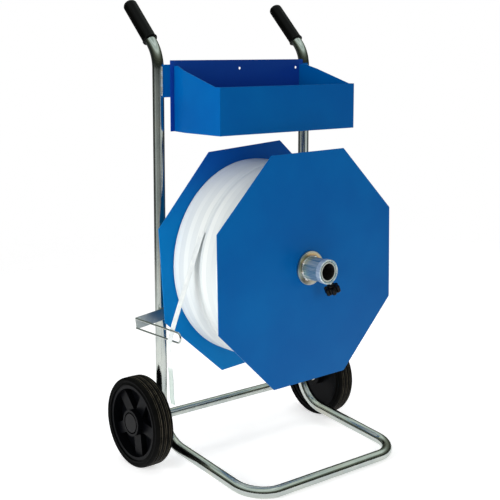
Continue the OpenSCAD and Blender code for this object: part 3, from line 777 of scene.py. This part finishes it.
def makeTail(v):
    # A flat rounded section carried along the route, bowed a little across its width.
    route = np.array([(x, v["y"], z) for x, z in v["route"]])
    centre = smoothRoute(route, 8)
    tangent = np.gradient(centre, axis=0)
    tangent /= np.linalg.norm(tangent, axis=1)[:, None]
    face = np.cross(tangent, yAxis)
    count = v["around"]
    angle = np.arange(count) * 2 * math.pi / count
    c, s = np.cos(angle), np.sin(angle)
    across = np.sign(c) * np.abs(c) ** 0.35 * v["width"] / 2
    out = np.sign(s) * np.abs(s) ** 0.6 * v["thickness"] / 2
    out = out - v["camber"] * (across / (v["width"] / 2)) ** 2
    points = (
        centre[:, None, :] + across[None, :, None] * yAxis + out[None, :, None] * face[:, None, :]
    )
    step = np.linalg.norm(np.diff(centre, axis=0, prepend=centre[:1]), axis=1)
    along = np.broadcast_to(np.cumsum(step)[:, None], points.shape[:2])
    side = np.broadcast_to(0.25 + across / v["width"] / 2, along.shape)
    last = (len(centre) - 1) * count
    caps = [range(count), range(last, last + count)]
    mesh = surfaceMesh("strapTail", points, gridFaces(len(centre), count), caps,
                       np.stack([side, along], -1), 50)
    piece = finishPiece("strapTail", mesh, "cart", strapFinish, ("strap_tail",))


makeTail(tailLook)
print("loose strap made")

# Wound strap
coilLook = {
    "creaseAt": 0.47,  # share of the width from the rear side
    "creaseWander": 0.02,
    "creaseDip": 0.0016,
    "creaseWidth": 0.0045,
    "bulge": 0.0008,
    "edgeRound": 0.0015,
    "sideRings": 24,
    "sideRib": 0.00025,
    "rows": 120,
    "count": 288,
}


def makeCoil(v):
    # Radius = full radius, less a soft crease between the two halves of the winding, a
    # slow rise in each half, and rounded edges; flat sides and the bore close the ring.
    low, high = (np.array(p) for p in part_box("strap_coil"))
    full, width = (high[0] - low[0]) / 2, high[1] - low[1]
    bore = extent("cardboard_core")[0] / 2
    share = np.linspace(0, 1, v["rows"])
    angle = np.arange(v["count"]) * 2 * math.pi / v["count"]
    a, t = np.meshgrid(share, angle, indexing="ij")
    crease = v["creaseAt"] + v["creaseWander"] * (np.sin(t + 0.6) + 0.4 * np.sin(2 * t + 2.0))
    away = (a - crease) * width
    radius = full - v["bulge"] - v["creaseDip"] * np.exp(-((away / v["creaseWidth"]) ** 2))
    radius = radius + v["bulge"] * np.abs(np.sin(math.pi * (a - crease) * 2)) * 0.8
    edge = np.minimum(a, 1 - a) * width
    radius = radius - v["edgeRound"] * np.clip(1 - edge / v["edgeRound"], 0, 1) ** 2
    along = a * width
    # the front side steps in to the bore in rings, and the rear side back out to the rim
    ring = np.linspace(full - v["edgeRound"] - 0.002, bore, v["sideRings"])
    side = np.broadcast_to(ring[:, None], (v["sideRings"], v["count"]))
    rib = v["sideRib"] * (1 + np.sin(ring * 2600))[:, None] * np.ones((1, v["count"]))
    radius = np.vstack([radius, side, side[::-1]])
    along = np.vstack([along, width - rib, rib[::-1]])
    t = np.broadcast_to(angle, along.shape)
    centre = np.array([reelMiddle[0], high[1], reelZ])
    points = turned(centre, -yAxis, xAxis, along, radius, t)
    mesh = surfaceMesh("woundStrap", points, gridFaces(len(along), v["count"], True), (),
                       np.stack([t / (2 * math.pi), along], -1), 50)
    finishPiece("woundStrap", mesh, "reel", woundFinish, ("strap_coil",))


makeCoil(coilLook)
print("wound strap made")

# Frame tube
frameLook = {
    "diameter": 0.025,
    "span": 0.426,
    "cornerZ": 0.905,
    "handleLength": 0.1495,
    "handleAngle": 45,
    "reach": 0.326,
    "slope": 6.6,
    "sideBend": 0.080,
    "cornerBend": 0.065,
    "around": 56,
}


def frameHalf(v):
    # From a grip down the handle and the upright, along the foot, round the front corner
    # and to the middle of the front bar, at the left side.
    r = v["diameter"] / 2
    slope, lean = math.radians(v["slope"]), math.radians(v["handleAngle"])
    handle = np.array([0, math.sin(lean), math.cos(lean)])
    foot = np.array([0, -math.cos(slope), -math.sin(slope)])
    x = -v["span"] / 2
    crossing = np.array([x, uprightY, v["cornerZ"]])
    corner = np.array([x, uprightY, r + v["reach"] * math.tan(slope)])
    upTangent = v["sideBend"] * math.tan(lean / 2)
    footTurn = math.pi / 2 - slope
    footTangent = v["sideBend"] * math.tan(footTurn / 2)
    footLength = v["reach"] / math.cos(slope)
    runs = [line(crossing + v["handleLength"] * handle, -handle, v["handleLength"] - upTangent, 12)]
    towards = np.array([0, math.cos(lean), -math.sin(lean)])
    runs.append(bend(runs[-1][0][-1], -handle, towards, v["sideBend"], lean, 20))
    top, low = crossing[2] - upTangent, corner[2] + footTangent
    runs.append(line(np.array([x, uprightY, top]), -zAxis, top - low, 40))
    runs.append(bend(np.array([x, uprightY, low]), -zAxis, -yAxis, v["sideBend"], footTurn, 36))
    footStart = corner + footTangent * foot
    runs.append(line(footStart, foot, footLength - footTangent - v["cornerBend"], 14))
    upright = [np.cross(t, xAxis) for _, t in runs]
    turnStart = corner + (footLength - v["cornerBend"]) * foot
    runs.append(bend(turnStart, foot, xAxis, v["cornerBend"], math.pi / 2, 32))
    barStart = np.array([x + v["cornerBend"], uprightY - v["reach"], r])
    runs.append(line(barStart, xAxis, -barStart[0], 10))
    plane = np.cross(foot, xAxis)
    across = upright + [np.broadcast_to(plane, t.shape) for _, t in runs[-2:]]
    keep = [slice(None)] + [slice(1, None)] * (len(runs) - 1)
    points = np.vstack([p[k] for (p, _), k in zip(runs, keep)])
    tangents = np.vstack([t[k] for (_, t), k in zip(runs, keep)])
    return points, tangents, np.vstack([a[k] for a, k in zip(across, keep)])


def makeFrame(v):
    # A round section carried along one half and then along its mirror image.
    points, tangents, across = frameHalf(v)
    flip = np.array([-1, 1, 1])
    points = np.vstack([points, (points * flip)[-2::-1]])
    tangents = np.vstack([tangents, (-tangents * flip)[-2::-1]])
    across = np.vstack([across, (across * flip)[-2::-1]])
    mesh = sweptMesh("frameTube", points, tangents, across, v["diameter"] / 2, v["around"])
    finishPiece("frameTube", mesh, "cart", tubeZinc, ("frame_tube",))


makeFrame(frameLook)
print("frame tube made")

# Grips
gripLook = {
    "bore": 0.01252,
    "radius": 0.0155,
    "flange": 0.0170,
    "flangeThick": 0.003,
    "length": 0.114,
    "round": 0.009,
    "ribs": 22,
    "ribDepth": 0.00012,
    "boreEnd": 0.110,
    "neck": 0.0008,
    "overhang": 0.0045,  # how far the closed end reaches past the tube's
}


def quarter(count, start, stop):
    # Cosine and sine of angles in degrees, for a rounded corner.
    t = np.linspace(math.radians(start), math.radians(stop), count)
    return np.cos(t), np.sin(t)


def makeGrip(side, v):
    # Profile: up the bore to its closed end, then down the outside from the rounded tip
    # to the flange; shallow ribs run lengthwise.
    lean = math.radians(frameLook["handleAngle"])
    axis = np.array([0, math.sin(lean), math.cos(lean)])
    crossing = np.array([side * frameLook["span"] / 2, uprightY, frameLook["cornerZ"]])
    start = crossing + (frameLook["handleLength"] + v["overhang"] - v["length"]) * axis
    c, s = quarter(10, 90, 0)
    tipA = v["length"] - v["round"] + v["round"] * s
    tipR = v["radius"] - v["round"] + v["round"] * c
    wave = np.linspace(v["length"] - v["round"], v["flangeThick"] + 0.004, 30)
    neckC, neckS = quarter(6, 180, 270)
    neckA = v["flangeThick"] + v["neck"] * (1 + neckS)
    neckR = v["radius"] + v["neck"] * (1 + neckC)
    lipC, lipS = quarter(8, 90, -90)
    half = v["flangeThick"] / 2
    along = np.concatenate([
        [0.0004, v["boreEnd"], v["boreEnd"]], [v["length"]], tipA, wave, neckA,
        half + half * lipS, [0.0001],
    ])
    radius = np.concatenate([
        [v["bore"], v["bore"], 0.0], [0.0], tipR, np.full(30, v["radius"]), neckR,
        v["flange"] - half + half * lipC, [v["bore"]],
    ])

    def ribbed(a, r, t):
        body = np.clip((a - 0.009) / 0.004, 0, 1) * np.clip((v["length"] - 0.012 - a) / 0.006, 0, 1)
        outside = (r > v["bore"] + 0.001) & (r < v["radius"] + 0.0005)
        return r - outside * body * v["ribDepth"] * (0.5 + 0.5 * np.cos(v["ribs"] * t))

    name = sideName(side)
    turnedPiece(name + "Grip", "cart", gripVinyl, start, axis, xAxis, (along, radius), 168,
                ("grip_" + name,), True, ribbed, 45)


makeGrip(-1, gripLook)
makeGrip(1, gripLook)
print("grips made")

# Wheels
tyreLook = {
    "width": 0.045,
    "radius": 0.100,
    "seat": 0.083,
    "shoulder": 0.0065,
    "grooves": (-0.01125, 0.0, 0.01125),
    "grooveWidth": 0.0028,
    "grooveDepth": 0.0028,
    "crown": 0.0006,
    "hollow": 0.0009,
    "raised": 0.0008,
    "around": 160,
}


def makeTyre(side, v):
    # Tread radius = crown, less a smooth-sided groove at three places; shoulders are
    # arcs, and each wall has a raised ring near the rim and a shallow hollow above it.
    half, s = v["width"] / 2, v["shoulder"]
    a = np.linspace(-half + s, half - s, 96)
    tread = v["radius"] - v["crown"] * (a / half) ** 2
    for g in v["grooves"]:
        tread = tread - v["grooveDepth"] * np.exp(-(((a - g) / (v["grooveWidth"] / 2)) ** 6))
    top = tread[0]
    c, q = quarter(12, 0, 90)
    wall = np.linspace(top - s, v["seat"] + 0.0005, 26)
    share = (top - s - wall) / (top - s - v["seat"])
    dish = v["hollow"] * np.sin(math.pi * np.clip(share / 0.7, 0, 1))
    dish = dish - v["raised"] * np.exp(-(((share - 0.82) / 0.08) ** 2))
    rightA = np.concatenate([a, half - s + s * q[1:], half - dish, [half - 0.002]])
    rightR = np.concatenate([tread, top - s + s * c[1:], wall, [v["seat"]]])
    leftA = -half + s - s * q[::-1][:-1]
    leftR = top - s + s * c[::-1][:-1]
    along = np.concatenate([[-half + 0.002], (-half + dish)[::-1], leftA, rightA])
    radius = np.concatenate([[v["seat"]], wall[::-1], leftR, rightR])
    name = sideName(side)
    turnedPiece(name + "Tyre", "wheel_" + name, rubber, middle("tyre_" + name), xAxis, yAxis,
                (along, radius), v["around"], ("tyre_" + name,), True, None, 50)


for wheelSide in (-1, 1):
    makeTyre(wheelSide, tyreLook)
    wheelName = sideName(wheelSide)
    softCopy("rim_" + wheelName, wheelName + "Rim", "wheel_" + wheelName, rimPlastic,
             0.0012, 3)
print("wheels made")

# Hub
hubLook = {
    "fillet": 0.0013,
    "ripples": 34,
    "rippleDepth": 0.0004,
    "tacks": (25, 118, 168, 214, 300),  # where the weld was started, in degrees
    "tackSize": 0.0032,
    "tackWidth": 8,
}


def makeBead(name, node, body, centreY, radius, v):
    # Ring whose section swells and shrinks along the seam, one swell for each ripple,
    # with a round blob added at each tack.
    count, section = 312, 20
    t = (np.arange(count) * 2 * math.pi / count)[:, None]
    p = (np.arange(section) * 2 * math.pi / section)[None, :]
    away = (np.degrees(t)[..., None] - np.array(v["tacks"]) + 180) % 360 - 180
    blobs = v["tackSize"] * np.exp(-((away / v["tackWidth"]) ** 2)).sum(-1)
    ripple = v["rippleDepth"] * np.abs(np.sin(v["ripples"] * t / 2 + 0.3 * np.sin(p)))
    swell = v["fillet"] + blobs - ripple
    r = radius + swell * np.cos(p)
    along = swell * np.sin(p) + 0 * t
    centre = np.array([0.0, centreY, reelZ])
    points = turned(centre, yAxis, xAxis, along, r, t + 0 * p)
    mesh = surfaceMesh(name, points, gridFaces(count, section, True))
    finishPiece(name, mesh, body, weldFinish, (node,))


sleeveRadius = extent("hub_sleeve")[0] / 2
spindleRadius = extent("spindle_tube")[0] / 2
flangeFront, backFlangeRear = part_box("front_flange")[0].y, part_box("back_flange")[1].y
makeBead("hubWeld", "hub_weld_bead", "front_plate", flangeFront, sleeveRadius, hubLook)
makeBead("backWeld", "back_weld_bead", "reel", backFlangeRear, spindleRadius, hubLook)

knobLook = {
    "lobes": 6,
    "lobeRadius": 0.0045,
    "lobeCircle": 0.0130,
    "valley": 0.0118,
    "neck": 0.0085,
    "neckLift": 0.005,
    "neckLength": 0.005,
    "headLength": 0.015,
    "chamfer": 0.0006,
    "dish": (0.0085, 0.0070),  # radius at the top's edge and at its hollow's
    "dishDepth": (0.0003, 0.0012),
    "bore": 0.00405,
    "boreDepth": 0.0103,
    "angle": 22.5,
    "round": 0.0028,
}


def makeKnob(v):
    # Radius round the head: the outer side of the nearest lobe's circle, or the valley
    # between two of them; the profile rounds it at both faces and dishes the top.
    tilt = math.radians(v["angle"])
    axis = np.array([math.sin(tilt), 0, -math.cos(tilt)])
    centre = np.array([0.0, middle("clamp_collar")[1], reelZ])
    c, s = quarter(8, 90, 0)
    n = extent("clamp_collar")[0] / 2 + v["neckLift"]
    h, r = n + v["neckLength"], v["round"]
    e, bore = h + v["headLength"], h + v["boreDepth"]
    lowA, topA = h + r - r * s, e - r + r * s
    along = np.concatenate([
        [bore, bore, n, n, n + v["chamfer"], h], lowA, topA[::-1],
        [e - v["dishDepth"][0], e - v["dishDepth"][1], e - v["dishDepth"][1]],
    ])
    # 1 stands for the full lobed radius, and what is under it draws the outline in
    rounded = 1 - r / (v["lobeCircle"] + v["lobeRadius"]) * (1 - c)
    full = np.concatenate([np.zeros(6), rounded, rounded[::-1], np.zeros(3)])
    plain = np.concatenate([
        [0, v["bore"], v["bore"], v["neck"] - v["chamfer"], v["neck"], v["neck"]],
        np.zeros(16), v["dish"], [0.0],
    ])

    def lobed(a, r0, t):
        pitch = 2 * math.pi / v["lobes"]
        near = t % pitch - pitch / 2
        reach = v["lobeRadius"] ** 2 - (v["lobeCircle"] * np.sin(near)) ** 2
        lobe = v["lobeCircle"] * np.cos(near) + np.sqrt(np.clip(reach, 0, None))
        outline = np.where(reach > 0, np.maximum(lobe, v["valley"]), v["valley"])
        return full[:, None] * outline + plain[:, None] + 0 * a

    turnedPiece("starKnob", "star_knob", knobPlastic, centre, axis, yAxis, (along, plain), 240,
                ("star_knob",), True, lobed, 45)


makeKnob(knobLook)
softCopy("clamp_collar", "clampCollar", "front_plate", collarZinc, 0.0005)
softCopy("hub_sleeve", "hubSleeve", "front_plate", sleeveZinc, 0.0005)
softCopy("front_flange", "hubFlange", "front_plate", heatZinc, 0.0007)
softCopy("back_flange", "backFlange", "reel", plainZinc, 0.0007)
print("hub made")

# Plates and tray
softCopy("front_plate", "frontPlate", "front_plate", paint, 0.0005)
softCopy("back_plate", "backPlate", "reel", backPaintLitAndShaded, 0.0005)
softCopy("tray_back_panel", "trayBack", "cart", trayShadePaint, 0.0004)
softCopy("tray_box", "trayBox", "cart", paint, 0.0004)
softCopy("tray_bracket_left", "leftBracket", "cart", paint, 0.0005)
softCopy("tray_bracket_right", "rightBracket", "cart", paint, 0.0005)

seamLook = {
    "radius": 0.0026,
    "ripples": 16,
    "depth": 0.0008,
    "inset": 0.0012,  # from the outer side of the seam to its middle
}


def makeTrayWelds(v):
    # Two upright seams: a round section that swells once for each ripple.
    low, high = (np.array(p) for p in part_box("tray_weld_beads"))
    rows, section = 200, 16
    share = np.linspace(0, 1, rows)[:, None]
    p = (np.arange(section) * 2 * math.pi / section)[None, :]
    ends = np.sqrt(np.clip(1 - (2 * share - 1) ** 8, 0, 1))
    swell = (v["radius"] - v["depth"] * np.abs(np.sin(v["ripples"] * math.pi * share))) * ends
    z = low[2] + (high[2] - low[2]) * share + 0 * p
    y = (low[1] + high[1]) / 2 + swell * np.sin(p)
    for side, name in ((-1, "leftTrayWeld"), (1, "rightTrayWeld")):
        x = side * (high[0] - v["inset"]) + swell * np.cos(p)
        mesh = surfaceMesh(name, np.stack([x, y, z], -1), gridFaces(rows, section))
        finishPiece(name, mesh, "cart", weldFinish, ("tray_weld_beads",))


makeTrayWelds(seamLook)
print("plates and tray made")

# Strap guide
guideLook = {
    "wire": 0.004,
    "pitch": 0.021,
    "reach": 0.150,
}


def makeWire(v):
    # Hairpin: out along the upper strand, half a turn down, and back along the lower.
    low, high = (np.array(p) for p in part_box("guide_wire"))
    x = (low[0] + high[0]) / 2
    top, bottom = high[2] - v["wire"] / 2, high[2] - v["wire"] / 2 - v["pitch"]
    out = line(np.array([x, high[1], top]), -yAxis, v["reach"], 8)
    turn = bend(out[0][-1], -yAxis, -zAxis, v["pitch"] / 2, math.pi, 32)
    back = line(np.array([x, high[1] - v["reach"], bottom]), yAxis, v["reach"], 8)
    points = np.vstack([out[0], turn[0][1:], back[0][1:]])
    tangents = np.vstack([out[1], turn[1][1:], back[1][1:]])
    across = np.broadcast_to(xAxis, points.shape)
    mesh = sweptMesh("guideWire", points, tangents, across, v["wire"] / 2, 20)
    finishPiece("guideWire", mesh, "cart", tubeZinc, ("guide_wire",))


makeWire(guideLook)
softCopy("guide_bar", "guideBar", "cart", dullZinc, 0.0006)
print("guide made")

# Remaining CAD pieces, and the nodes that finer pieces stand in for
nodeFinishes = [
    (plainZinc, [
        "axle_rod", "axle_washers", "wheel_spacers", "spindle_mount", "spindle_mount_bolts",
        "spindle_spacer", "tray_stud_nuts", "back_flange_bolts", "core_arms", "core_arm_bolts",
        "front_flange_studs", "clamp_stud",
    ]),
    (drawnZinc, ["axle_cross_tube", "reel_cross_bar"]),
    (spindleZinc, ["spindle_tube"]),
    (tubeZinc, ["frame_tube", "guide_wire"]),
    (darkSteel, ["end_washer", "end_bolt", "stub_axle"]),
    (capSteel, ["axle_caps"]),
    (nylon, ["rear_bush", "front_bush", "wheel_bearing_left", "wheel_bearing_right"]),
    (board, ["cardboard_core"]),
    (strapFinish, ["strap_tail"]),
    (woundFinish, ["strap_coil"]),
    (gripVinyl, ["grip_left", "grip_right"]),
    (rubber, ["tyre_left", "tyre_right"]),
    (knobPlastic, ["star_knob"]),
]


def paintNode(name, material):
    node = cad[name]
    if not node.material_slots:
        node.data.materials.append(material)
    for place in node.material_slots:
        place.material = material


for nodeMaterial, nodeNames in nodeFinishes:
    for nodeName in nodeNames:
        paintNode(nodeName, nodeMaterial)
print("other pieces finished")

# Floor, light and surroundings
stageLook = {
    "floorRadius": 3.2,
    "floorRings": 5,
    "floorAround": 96,
    "fadeStart": 0.7,
    "floor": (0.93, 0.93, 0.93),
    "floorCloud": (0.90, 0.90, 0.905),
    "floorGlow": 0.50,
    "background": 1.0,
    "sky": 0.28,
    "toCamera": (-0.639, -0.769),
    # what shines sees below the horizon, from behind by way of the left, front and right
    "round": [
        (0.0, 0.08), (0.20, 0.08), (0.275, 0.10), (0.31, 0.66), (0.345, 0.60), (0.385, 0.38),
        (0.50, 0.34), (0.56, 0.26), (0.585, 0.10), (0.62, 0.95), (0.73, 0.85), (0.78, 0.06),
        (1.0, 0.07),
    ],
    # what it sees from the horizon up to straight overhead
    "rising": [
        (0.0, (0.012, 0.018, 0.014)), (0.18, (0.03, 0.036, 0.026)), (0.38, (0.085, 0.092, 0.066)),
        (0.56, (0.27, 0.30, 0.25)), (0.70, (0.95, 1.05, 0.98)), (0.80, (0.55, 0.63, 0.60)),
        (0.88, (1.2, 1.3, 1.25)), (0.96, (0.62, 0.70, 0.66)),
    ],
}


def makeFloor(v):
    # A disc in rings, clear at its rim.
    count, rows = v["floorAround"], v["floorRings"]
    angle = np.arange(count) * 2 * math.pi / count
    rings = np.linspace(0, v["floorRadius"], rows)[:, None]
    points = np.stack([rings * np.cos(angle), rings * np.sin(angle), 0 * rings * angle], -1)
    f = Finish("floorPaint")
    place = f.place()
    cloud = f.noise(place, 1.5, 2)
    away = f.vector("LENGTH", place, output=1)
    material = f.surface({
        "Base Color": f.mix(f.step(cloud, 0.3, 0.7, 0, 0.3), v["floor"], v["floorCloud"]),
        "Roughness": 0.75 + 0.05 * cloud,
        "Specular IOR Level": 0.2,
        "Emission Color": (1.0, 1.0, 1.0),
        "Emission Strength": v["floorGlow"],
        "Alpha": f.step(away, v["fadeStart"], v["floorRadius"] - 0.2, 1.0, 0.0),
    })
    mesh = surfaceMesh("floor", points, gridFaces(rows, count))
    if mesh.polygons[10].normal.z < 0:
        mesh.flip_normals()
    floor = bpy.data.objects.new("floor", mesh)
    mesh.materials.append(material)
    bpy.context.scene.collection.objects.link(floor)


def makeSurroundings(v):
    # White to the eye; what shines sees a studio of dark flags and bright sheets, dark along
    # the horizon and brighter with height.
    f = Finish("studio", world=True)
    x, y, z = f.parts(f.node("ShaderNodeTexCoord", output=0))
    cx, cy = v["toCamera"]
    ahead = x * cx + y * cy
    right = y * cx - x * cy
    turn = f.number("ARCTAN2", right, ahead) / (2 * math.pi) + 0.5
    level = f.ramp(turn, [(p, (0.96 * g, g, 0.99 * g)) for p, g in v["round"]])
    above = f.ramp(z, v["rising"])
    shine = f.mix(f.step(z, -0.05, 0.0), level, above)
    path = f.node("ShaderNodeLightPath").socket.node
    glossy = Link(f, path.outputs["Is Glossy Ray"])
    eye = Link(f, path.outputs["Is Camera Ray"])
    plain = eye * v["background"] + (1 - eye) * v["sky"]
    colour = f.mix(glossy, f.join(plain, plain, plain), shine)
    light = f.node("ShaderNodeBackground", None, {"Color": colour, "Strength": 1.0})
    f.tree.links.new(light.socket, f.end.inputs["Surface"])
    bpy.context.scene.world = f.block


lampLook = {
    "left": {"place": (-3.4, -0.2, 1.1), "aim": (0, 0, 0.5), "size": 2.0, "power": 92},
    "front": {"place": (-0.9, -3.4, 1.3), "aim": (0, 0, 0.5), "size": 1.8, "power": 36},
    "top": {"place": (0.4, 0.9, 3.2), "aim": (0, 0, 0.4), "size": 2.0, "power": 20},
    "right": {"place": (3.2, 0.6, 1.4), "aim": (0, 0, 0.5), "size": 2.0, "power": 26},
}


def makeLamps(lamps):
    for name, v in lamps.items():
        data = bpy.data.lights.new(name, "AREA")
        data.shape = "DISK"
        data.size, data.energy = v["size"], v["power"]
        lamp = bpy.data.objects.new(name, data)
        lamp.location = v["place"]
        lamp.visible_glossy = False
        aim = Vector(v["aim"]) - Vector(v["place"])
        lamp.rotation_euler = aim.to_track_quat("-Z", "Y").to_euler()
        bpy.context.scene.collection.objects.link(lamp)


makeFloor(stageLook)
makeSurroundings(stageLook)
makeLamps(lampLook)
print("stage made")
